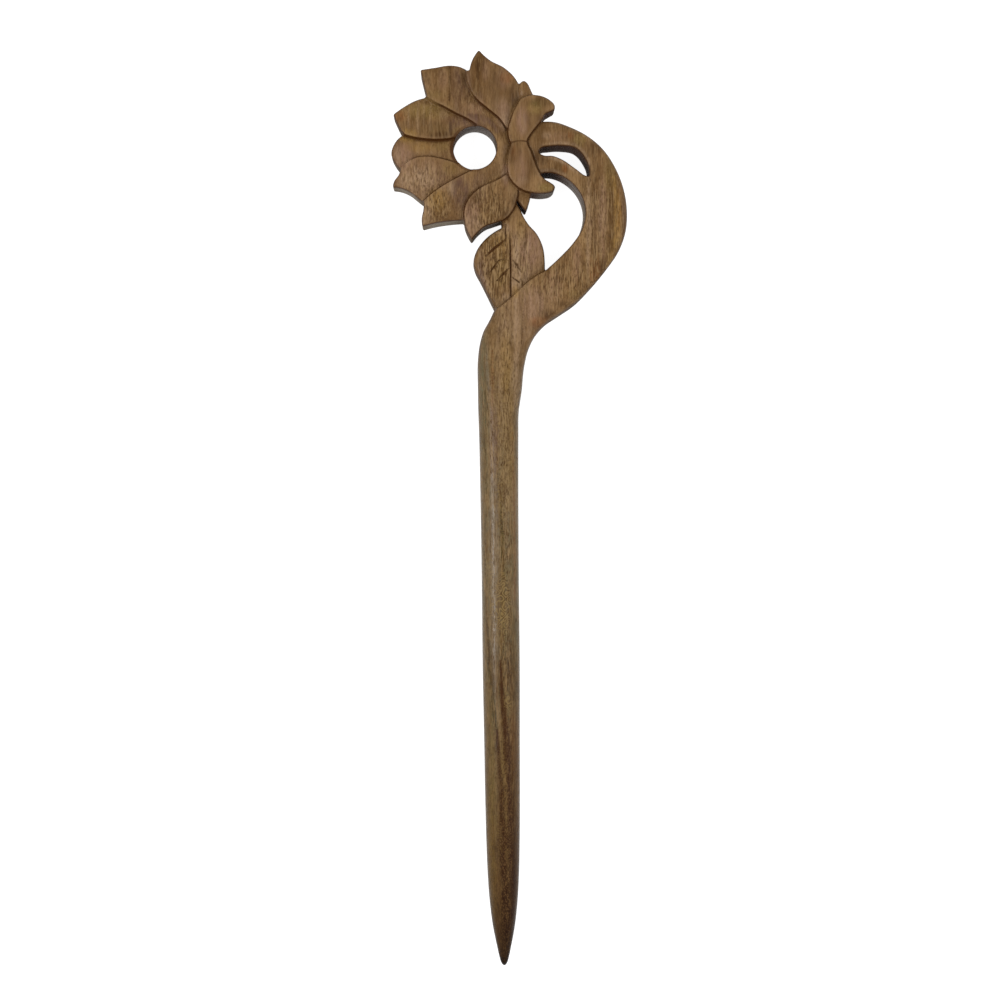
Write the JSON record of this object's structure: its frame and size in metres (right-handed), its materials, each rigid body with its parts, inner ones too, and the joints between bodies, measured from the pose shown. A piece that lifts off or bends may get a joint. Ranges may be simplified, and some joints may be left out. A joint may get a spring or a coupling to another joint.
{
  "type": "carved wooden hair stick",
  "caption": "Flat-backed hair stick with an openwork head of a carved flower, calyx, curled stem and leaf, and a round tapered shaft with a blunt point.",
  "frame": {"origin": "middle of the length and of the width, on the flat back", "axes": "+Y from the tip of the shaft to the flower, +X to the curled stem, +Z out of the carved face"},
  "size_m": [0.047, 0.184, 0.0086],
  "materials": {
    "walnut": "satin, rubbed with oil"
  },
  "bodies": {
    "root": {"hair_stick": "walnut"}
  },
  "joints": []
}
